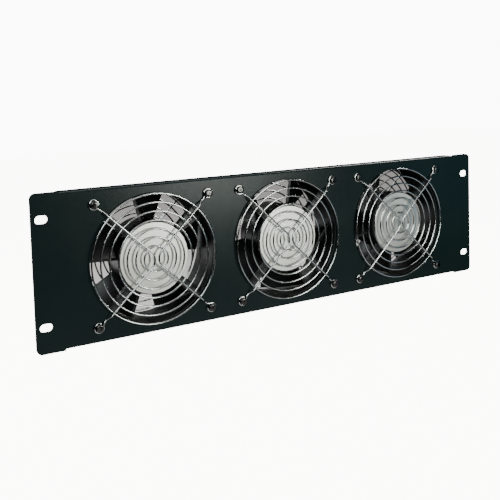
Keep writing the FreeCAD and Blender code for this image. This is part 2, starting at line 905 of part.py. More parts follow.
# ---------------------------------------------------------------- fasteners


def make_fan_screws(doc, s, name):
    """Make the four long pan head screws of one fan, heads on the front guard's eyelets."""
    body = new_body(doc, "fan_screws_" + name)
    offset = hole_offset(s)
    under_head = -(s["panel_thickness"] + s["spoke_wire_diameter"])
    end = s["fan_depth"] + s["spoke_wire_diameter"] + s["nut_thickness"] + s["screw_end"]
    head = s["screw_head_radius"]
    height = s["screw_head_height"]
    sketch = make_sketch(body, "Screw_" + name, "XY_Plane", (offset, 0, offset))
    draw_polygon(
        sketch,
        (
            (NOTHING, under_head - height),
            (head * 0.6, under_head - height),
            (head, under_head - height / 2),
            (head, under_head),
            (s["screw_shank_radius"], under_head),
            (s["screw_shank_radius"], end),
            (NOTHING, end),
        ),
    )
    screw = add_turned(body, sketch, "Revolution")
    doc.recompute()
    add_ring_of(body, screw, Size.of(4))
    return body


def make_fan_nuts(doc, s, name):
    """Make the four hexagon nuts that seat on the rear guard's eyelets."""
    body = new_body(doc, "fan_nuts_" + name)
    offset = hole_offset(s)
    corner = s["nut_across_flats"] / math.sqrt(3)
    sketch = make_sketch(body, "Nut_" + name, "XZ_Plane")
    corners = []
    for index in range(6):
        angle = math.radians(60 * index)
        corners.append((offset + corner * math.cos(angle), offset + corner * math.sin(angle)))
    draw_polygon(sketch, corners)
    draw_circle(sketch, offset, offset, s["screw_shank_radius"] + s["nut_clearance"])
    nut = add_pad(body, sketch, s["nut_thickness"])
    doc.recompute()
    add_ring_of(body, nut, Size.of(4))
    return body


# ---------------------------------------------------------------- terminals


def terminal_blade_boxes(doc, s, name, kind, clearance):
    """Make the two terminal blades, or the slots for them when clearance is not nothing."""
    seat = s["duct_radius"] + s["duct_wall"] + s["block_seat_gap"]
    length = s["blade_terminal_root"] + s["blade_terminal_reach"]
    boxes = []
    for side in (-1, 1):
        thickness = s["blade_terminal_thickness"] + clearance * 2
        width = s["blade_terminal_width"] + clearance * 2
        depth = s["fan_depth"] / 2 + s["blade_terminal_spacing"] / 2 * side - width / 2
        boxes.append(
            primitive(
                doc,
                "Box",
                "{}_{}_{}".format(kind, name, side + 1),
                {"Length": thickness, "Width": width, "Height": length},
                (
                    seat + s["block_height"] / 2 - thickness / 2,
                    depth,
                    s["block_width"] / 2 - s["blade_terminal_root"],
                ),
            )
        )
    return boxes


def make_terminal_block(doc, s, name):
    """Make the insulating block in the frame's lower right corner, slotted for its blades."""
    seat = s["duct_radius"] + s["duct_wall"] + s["block_seat_gap"]
    block = primitive(
        doc,
        "Box",
        "Block_" + name,
        {"Length": s["block_height"], "Width": s["block_depth"], "Height": s["block_width"]},
        (seat, s["fan_depth"] / 2 - s["block_depth"] / 2, -(s["block_width"] / 2)),
    )
    slots = terminal_blade_boxes(doc, s, name, "Slot", s["blade_terminal_clearance"])
    cut = difference(doc, "BlockCut_" + name, block, slots[0])
    cut = difference(doc, "BlockCuts_" + name, cut, slots[1])
    cut.Label = "terminal_block_" + name
    return cut


def make_terminal_blades(doc, s, name):
    """Make the two tinned blade terminals."""
    return group(doc, "terminal_blades_" + name, terminal_blade_boxes(doc, s, name, "Lug", NOTHING))


# ---------------------------------------------------------------- assembly


def make_fan(doc, s, name, place):
    """Make one fan with its motor, rotor, guards, fasteners and terminals."""
    half_turn = Rotation(Vector(0, 0, 1), 180)
    to_corner = Rotation(Vector(0, 1, 0), 45)
    front_seat = -s["panel_thickness"]
    behind_guard = s["fan_depth"] + s["spoke_wire_diameter"]
    pieces = [
        settle(make_fan_frame(doc, s, name), place),
        settle(make_stator_core(doc, s, name), place, s["core_start"]),
        settle(make_stator_coils(doc, s, name), place, s["core_start"]),
        settle(make_bearings(doc, s, name), place),
        settle(make_shaft_clip(doc, s, name), place),
        settle(make_rotor_cup(doc, s, name), place),
        settle(make_guard_rings(doc, s, "front_guard_rings_" + name), place, front_seat),
        settle(make_guard_spokes(doc, s, "front_guard_spokes_" + name), place, front_seat),
        settle(
            make_guard_rings(doc, s, "rear_guard_rings_" + name), place, s["fan_depth"], half_turn
        ),
        settle(
            make_guard_spokes(doc, s, "rear_guard_spokes_" + name), place, s["fan_depth"], half_turn
        ),
        settle(make_fan_screws(doc, s, name), place),
        settle(make_fan_nuts(doc, s, name), place, behind_guard),
        settle(make_terminal_block(doc, s, name), place, NOTHING, to_corner),
        settle(make_terminal_blades(doc, s, name), place, NOTHING, to_corner),
    ]
    disc = make_motor_disc(doc, s, name)
    bind(disc, "Placement.Base.x", place)
    bind(disc, "Placement.Base.y", -s["disc_thickness"])
    shaft = make_rotor_shaft(doc, s, name)
    bind(shaft, "Placement.Base.x", place)
    impeller = make_impeller(doc, s, name)
    phase = s[name + "_fan_phase"]
    settle(impeller, place, NOTHING, Rotation(Vector(0, -1, 0), phase.value))
    return pieces + [disc, shaft, impeller]


def check_document(doc):
    """Stop if any object of the document failed to compute."""
    for thing in doc.Objects:
        if "Invalid" in thing.State or "Error" in thing.State:
            raise RuntimeError("{} failed: {}".format(thing.Label, thing.State))


def check_shape(thing):
    """Stop if a sub-part has no sound solid."""
    shape = thing.Shape
    if shape.isNull() or not shape.isValid() or not shape.Solids:
        raise RuntimeError("{} has no sound shape".format(thing.Label))


def main():
    """Build the document, check it and write one STEP file for each sub-part."""
    doc = FreeCAD.newDocument("rack_fan_tray")
    s = make_sheet(doc)
    places = (-fan_pitch(s), NOTHING, fan_pitch(s))
    pieces = [make_front_panel(doc, s, places)]
    for name, place in zip(FAN_NAMES, places):
        pieces.extend(make_fan(doc, s, name, place))
    doc.recompute()
    check_document(doc)
    for piece in pieces:
        check_shape(piece)
    os.makedirs("parts", exist_ok=True)
    for piece in pieces:
        piece.Shape.exportStep(os.path.join("parts", piece.Label + ".step"))
    print("wrote {} sub-parts".format(len(pieces)))


main()
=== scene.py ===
"""Dress the rack fan tray: a black panel, three axial fans and their chrome wire guards."""

import logging
import math
from collections.abc import Callable
from dataclasses import dataclass, field
from enum import Enum

import bpy
from bpy.types import Material, Node, NodeSocket, NodeTree, Object
from mathutils import Matrix, Quaternion, Vector


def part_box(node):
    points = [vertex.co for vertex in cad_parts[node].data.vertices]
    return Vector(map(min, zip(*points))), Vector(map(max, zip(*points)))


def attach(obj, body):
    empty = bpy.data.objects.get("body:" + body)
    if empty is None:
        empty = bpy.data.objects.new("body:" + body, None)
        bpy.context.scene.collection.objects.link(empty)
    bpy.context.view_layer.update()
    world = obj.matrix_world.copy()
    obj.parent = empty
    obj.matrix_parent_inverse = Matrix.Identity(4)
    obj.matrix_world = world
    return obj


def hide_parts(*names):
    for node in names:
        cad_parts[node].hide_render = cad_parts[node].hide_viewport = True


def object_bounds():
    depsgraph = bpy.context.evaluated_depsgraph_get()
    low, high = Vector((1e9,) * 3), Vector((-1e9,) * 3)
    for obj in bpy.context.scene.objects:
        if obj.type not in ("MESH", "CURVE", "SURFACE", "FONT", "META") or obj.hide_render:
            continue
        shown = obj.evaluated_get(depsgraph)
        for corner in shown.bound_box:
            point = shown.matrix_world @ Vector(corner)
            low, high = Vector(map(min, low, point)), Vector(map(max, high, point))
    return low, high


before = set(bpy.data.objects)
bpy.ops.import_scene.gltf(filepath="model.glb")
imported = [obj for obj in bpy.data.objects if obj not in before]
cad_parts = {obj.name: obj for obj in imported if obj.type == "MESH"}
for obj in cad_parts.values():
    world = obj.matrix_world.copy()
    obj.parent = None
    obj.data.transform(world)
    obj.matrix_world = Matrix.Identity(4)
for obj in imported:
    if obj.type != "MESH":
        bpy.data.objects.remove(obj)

Triple = tuple[float, float, float]
Feeds = dict[str | int, object]

CAD_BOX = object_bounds()
MM = 0.001
HOLE_OFFSET = 52.4 * MM
HOUSING_BODY = "panel_and_housings"
TOWARDS_FRONT = Vector((0.0, -1.0, 0.0))
TOWARDS_REAR = Vector((0.0, 1.0, 0.0))

# merging distances, and how near a depth counts as being at it
MIRROR_MERGE = 0.01 * MM
DOUBLES_MERGE = 0.005 * MM
AT_DEPTH = 0.001 * MM

log = logging.getLogger("rack_fan_tray")


class Fan(Enum):
    """The three fans of the tray, by their place on the panel."""

    LEFT = "left"
    CENTRE = "centre"
    RIGHT = "right"

    def node(self, kind: str) -> str:
        """Return the name of this fan's CAD node of a kind."""
        return f"{kind}_{self.value}"

    def axis_x(self) -> float:
        """Return where the fan's axis stands across the panel."""
        low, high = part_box(self.node("fan_frame"))
        return (low[0] + high[0]) / 2


class Side(Enum):
    """The two sides of a fan that a wire guard covers."""

    FRONT = "front"
    REAR = "rear"


# ---------------- shader groups


class NodeBench:
    """Adds and wires the nodes of one shader tree.

    Wherever a node is fed, a value is a socket of another node or a constant.
    """

    # the colour sockets of a Mix node, which share their names with its number sockets
    MIX_FIRST = 6
    MIX_SECOND = 7
    MIX_RESULT = 2

    def __init__(self, tree: NodeTree) -> None:
        """Work on the node tree of a material, a group or the world."""
        self.tree = tree

    def link(self, source: NodeSocket, target: NodeSocket) -> None:
        """Join an output socket to an input socket."""
        self.tree.links.new(source, target)

    def feed(self, node: Node, values: Feeds) -> None:
        """Feed inputs of a node.

        Args:
            node: The node.
            values: What goes into each named or numbered input.
        """
        for key, value in values.items():
            if isinstance(value, NodeSocket):
                self.link(value, node.inputs[key])
            else:
                node.inputs[key].default_value = value

    def add(self, kind: str, values: Feeds, **settings: object) -> Node:
        """Add a node, set its own options and feed it.

        Args:
            kind: The node's type, without the leading ShaderNode.
            values: What goes into each of its inputs.
            **settings: Its options.

        Returns:
            The new node.
        """
        node = self.tree.nodes.new("ShaderNode" + kind)
        for name, value in settings.items():
            setattr(node, name, value)
        self.feed(node, values)
        return node

    def maths(self, operation: str, first: object, second: object = 0.0) -> NodeSocket:
        """Return the result of an operation on two values."""
        return self.add("Math", {0: first, 1: second}, operation=operation).outputs[0]

    def spread(self, value: NodeSocket, low: object, high: object, start: float, end: float) -> NodeSocket:
        """Return a value of start..end mapped to low..high."""
        bounds = {"From Min": start, "From Max": end, "To Min": low, "To Max": high}
        return self.add("MapRange", {"Value": value, **bounds}).outputs["Result"]

    def mix(self, share: NodeSocket, first: object, second: object) -> NodeSocket:
        """Return a mix of two colours, with the given share of the second."""
        values = {"Factor": share, self.MIX_FIRST: first, self.MIX_SECOND: second}
        return self.add("Mix", values, data_type="RGBA").outputs[self.MIX_RESULT]

    def place(self) -> NodeSocket:
        """Return the place on the object, in the object's own coordinates."""
        return self.add("TexCoord", {}).outputs["Object"]

    def seen(self) -> NodeSocket:
        """Return whether the camera looks straight at the surface."""
        return self.add("LightPath", {}).outputs["Is Camera Ray"]

    def split(self, vector: NodeSocket, axis: str) -> NodeSocket:
        """Return a vector's share along an axis, X, Y or Z."""
        return self.add("SeparateXYZ", {0: vector}).outputs[axis]

    def noise(self, scale: object, detail: float, roughness: float) -> NodeSocket:
        """Return noise of so many cells per metre, with finer layers of a strength."""
        values = {"Vector": self.place(), "Scale": scale, "Detail": detail, "Roughness": roughness}
        return self.add("TexNoise", values).outputs["Fac"]


class ShaderGroups:
    """The effects that several finishes share, each built once.

    A noise is given as its detail and roughness, and a range as the lowest and highest
    noise value that counts.
    """

    MOTTLE = (6.0, 0.6)
    MOTTLE_RANGE = (0.3, 0.7)
    BROAD_SMEAR = (3.0, 0.5)
    BROAD_SHARE = 0.7
    FINE_SMEAR = (2.0, 0.5)
    FINE_SHARE = 0.3
    FINE_TIMES = 14.0
    SMEAR_RANGE = (0.35, 0.65)
    SOFT_BUMP = (1.5, 0.45)
    SPECKS = (1.0, 0.5)
    SPECK_TIMES = 3.7
    RING_DETAIL = 4.0
    DUST_SLOPE = (0.55, 1.0)
    DUST_BREAK = (5.0, 0.6)
    DUST_RANGE = (0.4, 0.75)

    def __init__(self) -> None:
        """Build every group."""
        self.tone = self._tone()
        self.sheen = self._sheen()
        self.grain = self._grain()
        self.spun = self._spun()
        self.dust = self._dust()
        self.layers = self._layers()

    @staticmethod
    def _start(
        name: str, inputs: dict[str, str], output: str, kind: str
    ) -> tuple[NodeBench, Node, NodeSocket]:
        """Make an empty group with named sockets.

        Args:
            name: The group's name.
            inputs: The inputs' names with their types.
            output: The output's name.
            kind: The output's type.

        Returns:
            The group's bench, its input node, and the socket that its result goes to.
        """
        tree = bpy.data.node_groups.new(name, "ShaderNodeTree")
        for socket, socket_kind in inputs.items():
            tree.interface.new_socket(socket, in_out="INPUT", socket_type="NodeSocket" + socket_kind)
        tree.interface.new_socket(output, in_out="OUTPUT", socket_type="NodeSocket" + kind)
        entry = tree.nodes.new("NodeGroupInput")
        leave = tree.nodes.new("NodeGroupOutput")
        return NodeBench(tree), entry, leave.inputs[output]

    def _tone(self) -> NodeTree:
        """Mottle two tones over the surface.

        Returns:
            The group.
        """
        inputs = {"Scale": "Float", "First": "Color", "Second": "Color"}
        bench, entry, result = self._start("mottled tone", inputs, "Color", "Color")
        noise = bench.noise(entry.outputs["Scale"], *self.MOTTLE)
        factor = bench.spread(noise, 0.0, 1.0, *self.MOTTLE_RANGE)
        bench.link(bench.mix(factor, entry.outputs["First"], entry.outputs["Second"]), result)
        return bench.tree

    def _sheen(self) -> NodeTree:
        """Vary roughness in broad smears with fine breaks.

        Returns:
            The group.
        """
        inputs = {"Scale": "Float", "Smooth": "Float", "Rough": "Float"}
        bench, entry, result = self._start("smeared sheen", inputs, "Roughness", "Float")
        broad = bench.noise(entry.outputs["Scale"], *self.BROAD_SMEAR)
        broad_part = bench.maths("MULTIPLY", broad, self.BROAD_SHARE)
        fine_scale = bench.maths("MULTIPLY", entry.outputs["Scale"], self.FINE_TIMES)
        fine = bench.noise(fine_scale, *self.FINE_SMEAR)
        both = bench.maths("ADD", broad_part, bench.maths("MULTIPLY", fine, self.FINE_SHARE))
        ends = (entry.outputs["Smooth"], entry.outputs["Rough"])
        bench.link(bench.spread(both, *ends, *self.SMEAR_RANGE), result)
        return bench.tree

    def _grain(self) -> NodeTree:
        """Raise a fine grain of soft bumps with finer specks on them.

        Returns:
            The group.
        """
        inputs = {"Scale": "Float", "Speck": "Float"}
        bench, entry, result = self._start("fine grain", inputs, "Height", "Float")
        soft = bench.noise(entry.outputs["Scale"], *self.SOFT_BUMP)
        fine_scale = bench.maths("MULTIPLY", entry.outputs["Scale"], self.SPECK_TIMES)
        fine = bench.noise(fine_scale, *self.SPECKS)
        specks = bench.maths("MULTIPLY", fine, entry.outputs["Speck"])
        bench.link(bench.maths("ADD", soft, specks), result)
        return bench.tree

    def _spun(self) -> NodeTree:
        """Turn fine rings round a fan's axis, as a lathe or a brush leaves them.

        Returns:
            The group.
        """
        inputs = {"Centre": "Vector", "Per metre": "Float"}
        bench, entry, result = self._start("spun rings", inputs, "Height", "Float")
        values = {0: bench.place(), 1: entry.outputs["Centre"]}
        offset = bench.add("VectorMath", values, operation="SUBTRACT")
        values = {0: offset.outputs[0], 1: (1.0, 0.0, 1.0)}
        flat = bench.add("VectorMath", values, operation="MULTIPLY")
        reach = bench.add("VectorMath", {0: flat.outputs[0]}, operation="LENGTH")
        scale = entry.outputs["Per metre"]
        values = {"W": reach.outputs["Value"], "Scale": scale, "Detail": self.RING_DETAIL}
        lines = bench.add("TexNoise", values, noise_dimensions="1D")
        bench.link(lines.outputs["Fac"], result)
        return bench.tree

    def _dust(self) -> NodeTree:
        """Mask the faces that look up, where dust settles, broken by noise.

        Returns:
            The group.
        """
        bench, entry, result = self._start("settled dust", {"Scale": "Float"}, "Mask", "Float")
        normal = bench.add("NewGeometry", {}).outputs["Normal"]
        upward = bench.spread(bench.split(normal, "Z"), 0.0, 1.0, *self.DUST_SLOPE)
        noise = bench.noise(entry.outputs["Scale"], *self.DUST_BREAK)
        broken = bench.spread(noise, 0.0, 1.0, *self.DUST_RANGE)
        bench.link(bench.maths("MULTIPLY", upward, broken), result)
        return bench.tree

    def _layers(self) -> NodeTree:
        """Rule level lines along the fan's axis, as stacked sheets or wound wire show.

        Returns:
            The group.
        """
        bench, entry, result = self._start("stacked layers", {"Per metre": "Float"}, "Height", "Float")
        depth = bench.split(bench.place(), "Y")
        phase = bench.maths("MULTIPLY", depth, entry.outputs["Per metre"])
        turns = bench.maths("MULTIPLY", phase, math.tau)
        bench.link(bench.maths("SINE", turns), result)
        return bench.tree


# ---------------- finishes


class Relief(Enum):
    """How the surface of a finish is raised."""

    GRAIN = "grain"
    SPUN = "spun"
    LAYERS = "layers"


@dataclass(frozen=True)
class Finish:
    """One finish: two close tones, a range of sheen and a fine relief.

    Colours are linear. Scales are cells or lines per metre, and heights metres.
    """

    name: str
    first: Triple
    second: Triple
    smooth: float
    rough: float
    metallic: float = 0.0
    specular: float = 0.5
    tone_scale: float = 60.0
    sheen_scale: float = 40.0
    relief: Relief = Relief.GRAIN
    relief_scale: float = 1200.0
    relief_height: float = 0.00004
    speck: float = 0.3
    dust: float = 0.0
    dust_colour: Triple = (0.16, 0.155, 0.14)

    def material(self, groups: ShaderGroups, centre_x: float) -> Material:
        """Build the material.

        Args:
            groups: The shared shader groups.
            centre_x: The fan axis that spun rings turn round.

        Returns:
            The new material.
        """
        made = bpy.data.materials.new(self.name)
        made.use_nodes = True
        bench = NodeBench(made.node_tree)
        tones = {"First": (*self.first, 1.0), "Second": (*self.second, 1.0)}
        values = {"Scale": self.tone_scale, **tones}
        tone = bench.add("Group", values, node_tree=groups.tone)
        colour = tone.outputs["Color"]
        if self.dust > 0.0:
            dust = bench.add("Group", {"Scale": self.tone_scale}, node_tree=groups.dust)
            amount = bench.maths("MULTIPLY", dust.outputs["Mask"], self.dust)
            colour = bench.mix(amount, colour, (*self.dust_colour, 1.0))
        values = {"Scale": self.sheen_scale, "Smooth": self.smooth, "Rough": self.rough}
        sheen = bench.add("Group", values, node_tree=groups.sheen)
        height = self._height(bench, groups, centre_x)
        values = {"Strength": 1.0, "Distance": self.relief_height, "Height": height}
        bump = bench.add("Bump", values)
        surface = {
            "Base Color": colour,
            "Metallic": self.metallic,
            "Roughness": sheen.outputs["Roughness"],
            "Specular IOR Level": self.specular,
            "Normal": bump.outputs["Normal"],
        }
        bench.feed(made.node_tree.nodes["Principled BSDF"], surface)
        return made

    def _height(self, bench: NodeBench, groups: ShaderGroups, centre_x: float) -> NodeSocket:
        """Return the height that the relief raises.

        Args:
            bench: The material's bench.
            groups: The shared shader groups.
            centre_x: The fan axis that spun rings turn round.

        Returns:
            The height socket.
        """
        tree = groups.grain
        values = {"Scale": self.relief_scale, "Speck": self.speck}
        if self.relief is Relief.SPUN:
            tree = groups.spun
            values = {"Centre": (centre_x, 0.0, 0.0), "Per metre": self.relief_scale}
        elif self.relief is Relief.LAYERS:
            tree = groups.layers
            values = {"Per metre": self.relief_scale}
        return bench.add("Group", values, node_tree=tree).outputs["Height"]


PANEL_PAINT = Finish(
    "black_panel_paint", first=(0.0062, 0.0142, 0.0138), second=(0.0078, 0.0168, 0.0160), smooth=0.22,
    rough=0.27, specular=0.16, tone_scale=25.0, sheen_scale=18.0, relief_scale=1400.0,
    relief_height=0.000012,
)
CAST_PAINT = Finish(
    "black_casting_paint", first=(0.009, 0.0105, 0.0108), second=(0.015, 0.0168, 0.0172), smooth=0.34,
    rough=0.48, tone_scale=120.0, sheen_scale=60.0, relief_scale=900.0, relief_height=0.00006,
    dust=0.25,
)
BLADE_PLASTIC = Finish(
    "black_blade_plastic", first=(0.0045, 0.0048, 0.005), second=(0.0075, 0.0078, 0.008), smooth=0.27,
    rough=0.38, specular=0.3, tone_scale=90.0, sheen_scale=50.0, relief_scale=700.0, relief_height=0.00002,
)
DISC_METAL = Finish(
    "satin_disc_metal", first=(0.70, 0.69, 0.645), second=(0.77, 0.755, 0.705), smooth=0.30, rough=0.38,
    metallic=0.9, tone_scale=70.0, sheen_scale=45.0, relief=Relief.SPUN, relief_scale=2600.0,
    relief_height=0.00001,
)
CHROME_WIRE = Finish(
    "bright_chrome_wire", first=(0.51, 0.53, 0.515), second=(0.60, 0.62, 0.605), smooth=0.08, rough=0.19,
    metallic=1.0, tone_scale=140.0, sheen_scale=160.0, relief_scale=900.0, relief_height=0.000012,
)
SCREW_STEEL = Finish(
    "zinc_screw_steel", first=(0.055, 0.055, 0.055), second=(0.11, 0.11, 0.105), smooth=0.14, rough=0.26,
    metallic=1.0, tone_scale=300.0, sheen_scale=240.0, relief_scale=2200.0, relief_height=0.000015,
)
ROTOR_STEEL = Finish(
    "drawn_rotor_steel", first=(0.10, 0.10, 0.105), second=(0.15, 0.15, 0.155), smooth=0.30, rough=0.45,
    metallic=1.0, relief=Relief.SPUN, relief_scale=1800.0, relief_height=0.00002,
)
GROUND_STEEL = Finish(
    "ground_shaft_steel", first=(0.55, 0.55, 0.56), second=(0.64, 0.64, 0.65), smooth=0.12, rough=0.22,
    metallic=1.0, relief=Relief.LAYERS, relief_scale=3000.0, relief_height=0.000004,
)
LAMINATIONS = Finish(
    "stacked_lamination_steel", first=(0.16, 0.16, 0.17), second=(0.24, 0.235, 0.23), smooth=0.35,
    rough=0.55, metallic=1.0, relief=Relief.LAYERS, relief_scale=2000.0, relief_height=0.00008,
)
WINDING = Finish(
    "enamelled_copper_winding", first=(0.42, 0.13, 0.045), second=(0.55, 0.19, 0.07), smooth=0.22,
    rough=0.34, metallic=0.9, relief=Relief.LAYERS, relief_scale=2500.0, relief_height=0.0001,
)
SINTERED_BRONZE = Finish(
    "oiled_sintered_bronze", first=(0.35, 0.22, 0.10), second=(0.45, 0.29, 0.14), smooth=0.38, rough=0.55,
    metallic=1.0, relief_scale=3500.0, relief_height=0.00004,
)
BLOCK_PLASTIC = Finish(
    "black_terminal_plastic", first=(0.012, 0.012, 0.012), second=(0.020, 0.019, 0.018), smooth=0.45,
    rough=0.6, relief_scale=1600.0, relief_height=0.00004, dust=0.3,
)
TINNED_BRASS = Finish(
    "tinned_terminal_brass", first=(0.62, 0.60, 0.54), second=(0.72, 0.70, 0.65), smooth=0.22, rough=0.4,
    metallic=1.0, relief_scale=1500.0, relief_height=0.00001,
)


# ---------------- bench work


def clear_selection() -> None:
    """Leave nothing selected, so the next operator meets only its own piece."""
    if bpy.context.object and bpy.context.object.mode != "OBJECT":
        bpy.ops.object.mode_set(mode="OBJECT")
    bpy.ops.object.select_all(action="DESELECT")


def pick(*pieces: Object) -> None:
    """Select pieces and make the last one active.

    Args:
        *pieces: The pieces.
    """
    clear_selection()
    for piece in pieces:
        piece.select_set(True)
    bpy.context.view_layer.objects.active = pieces[-1]


def remove(*pieces: Object) -> None:
    """Take pieces out of the scene."""
    for piece in pieces:
        bpy.data.objects.remove(piece)


def settle(piece: Object) -> None:
    """Put a piece's place into its mesh, so its object stands at the origin."""
    pick(piece)
    bpy.ops.object.transform_apply(location=True, rotation=True, scale=True)


def join(pieces: list[Object], name: str) -> Object:
    """Join pieces into one.

    Args:
        pieces: The mesh pieces, two or more.
        name: The name of the joined piece.

    Returns:
        The joined piece, at the origin.
    """
    for piece in pieces:
        settle(piece)
    pick(*pieces)
    bpy.ops.object.join()
    joined = bpy.context.object
    joined.name = name
    joined.data.name = name
    return joined


def select_where(piece: Object, mode: str, wanted: Callable[[Vector], bool]) -> None:
    """Select the vertices or edges of a piece that wanted picks, and stay in edit mode.

    Args:
        piece: A mesh piece whose object stands at the origin.
        mode: VERT or EDGE.
        wanted: A test that takes the place of a vertex or the middle of an edge.
    """
    pick(piece)
    bpy.ops.object.mode_set(mode="EDIT")
    bpy.ops.mesh.select_mode(type=mode)
    bpy.ops.mesh.select_all(action="DESELECT")
    bpy.ops.object.mode_set(mode="OBJECT")
    mesh = piece.data
    if mode == "VERT":
        for vertex in mesh.vertices:
            vertex.select = wanted(vertex.co)
    else:
        for edge in mesh.edges:
            first, second = (mesh.vertices[index].co for index in edge.vertices)
            edge.select = wanted((first + second) / 2)
    bpy.ops.object.mode_set(mode="EDIT")


def apply_modifier(piece: Object, kind: str, **settings: object) -> None:
    """Add a modifier to a piece and apply it.

    Args:
        piece: The piece.
        kind: The modifier's type.
        **settings: Its settings.
    """
    pick(piece)
    modifier = piece.modifiers.new(kind.lower(), kind)
    for name, value in settings.items():
        setattr(modifier, name, value)
    bpy.ops.object.modifier_apply(modifier=modifier.name)


def mirror_to_four(piece: Object) -> None:
    """Mirror a piece that stands in one quarter of a fan into the other three."""
    apply_modifier(piece, "MIRROR", use_axis=(True, False, True), merge_threshold=MIRROR_MERGE)
    face_outwards(piece)


def face_outwards(piece: Object) -> None:
    """Merge a piece's doubled points and turn its faces outwards.

    Args:
        piece: The mesh piece.
    """
    pick(piece)
    bpy.ops.object.mode_set(mode="EDIT")
    bpy.ops.mesh.select_all(action="SELECT")
    bpy.ops.mesh.remove_doubles(threshold=DOUBLES_MERGE)
    bpy.ops.mesh.normals_make_consistent(inside=False)
    bpy.ops.object.mode_set(mode="OBJECT")


def smooth(piece: Object, angle: float) -> None:
    """Shade a piece smooth over edges flatter than an angle in degrees."""
    pick(piece)
    bpy.ops.object.shade_smooth_by_angle(angle=math.radians(angle))


def copy_to(piece: Object, name: str, turn: Matrix) -> Object:
    """Copy a piece with a mesh of its own and move the copy's mesh.

    Args:
        piece: The piece to copy.
        name: The copy's name.
        turn: The move, from the piece's place to the copy's.

    Returns:
        The copy, whose object stands at the origin.
    """
    twin = piece.copy()
    twin.data = piece.data.copy()
    twin.name = name
    twin.data.name = name
    bpy.context.collection.objects.link(twin)
    twin.data.transform(turn)
    return twin


def dress(piece: Object, material: Material) -> None:
    """Give a piece one material in every slot it has.

    Args:
        piece: The piece.
        material: The material.
    """
    if not piece.data.materials:
        piece.data.materials.append(material)
    for held in piece.material_slots:
        held.material = material


# ---------------- wire guards


class WireBender:
    """Draws a round wire by extruding and spinning its end loop, as wire is bent."""

    DOME_INSET = 0.3 * MM
    DOME_HEIGHT = 0.15 * MM

    def __init__(self, name: str, start: Vector, heading: Vector, radius: float, sides: int) -> None:
        """Start a wire with an open loop across it.

        Args:
            name: The wire's name.
            start: Where its middle line starts.
            heading: The way that it leaves.
            radius: The wire's radius.
            sides: The number of points round the wire.
        """
        clear_selection()
        bpy.ops.mesh.primitive_circle_add(
            vertices=sides,
            radius=radius,
            location=start,
            rotation=heading.to_track_quat("Z", "Y").to_euler(),
        )
        self.piece = bpy.context.object
        self.piece.name = name
        self.sides = sides
        self.at = start.copy()
        self.heading = heading.normalized()
        bpy.ops.object.mode_set(mode="EDIT")
        bpy.ops.mesh.select_all(action="SELECT")

    def run_to(self, place: Vector) -> None:
        """Run the wire straight to a place that lies ahead."""
        bpy.ops.mesh.extrude_region_move(TRANSFORM_OT_translate={"value": place - self.at})
        self.at = place.copy()

    def turn(self, centre: Vector, axis: Vector, angle: float, steps: int) -> None:
        """Bend the wire round a centre, by the right-hand rule about an axis.

        Args:
            centre: The middle of the bend.
            axis: The bend's axis.
            angle: The angle in radians.
            steps: The number of steps of the bend.
        """
        bpy.ops.mesh.spin(steps=steps, angle=-angle, center=centre, axis=axis)
        turned = Quaternion(axis, angle)
        self.at = centre + turned @ (self.at - centre)
        self.heading = turned @ self.heading

    def turn_corner(self, corner: Vector, after: Vector, radius: float, steps: int) -> None:
        """Run to a corner and round it on the way to the next place.

        Args:
            corner: The sharp corner that the bend rounds.
            after: The place beyond the corner.
            radius: The bend's radius.
            steps: The number of steps of the bend.
        """
        leaving = (after - corner).normalized()
        axis = self.heading.cross(leaving).normalized()
        angle = self.heading.angle(leaving)
        self.run_to(corner - self.heading * (radius * math.tan(angle / 2)))
        inward = axis.cross(self.heading)
        self.turn(self.at + inward * radius, axis, angle, steps)

    def finish(self) -> Object:
        """Close the wire's two cut ends with slightly domed faces.

        Returns:
            The wire.
        """
        bpy.ops.mesh.edge_face_add()
        bpy.ops.mesh.select_all(action="DESELECT")
        bpy.ops.mesh.select_non_manifold(extend=False)
        bpy.ops.mesh.edge_face_add()
        bpy.ops.mesh.select_all(action="SELECT")
        bpy.ops.mesh.normals_make_consistent(inside=False)
        bpy.ops.mesh.select_face_by_sides(number=self.sides, type="EQUAL", extend=False)
        bpy.ops.mesh.inset(thickness=self.DOME_INSET, depth=self.DOME_HEIGHT, use_individual=True)
        bpy.ops.object.mode_set(mode="OBJECT")
        settle(self.piece)
        return self.piece


@dataclass(frozen=True)
class SpokeArm:
    """The places along one arm of a spoke wire, from its middle bend to its eyelet."""

    leave: Vector
    step_start: Vector
    step_end: Vector
    lead_start: Vector
    lead_centre: Vector
    lead_angle: float
    screw: Vector
    first_angle: float


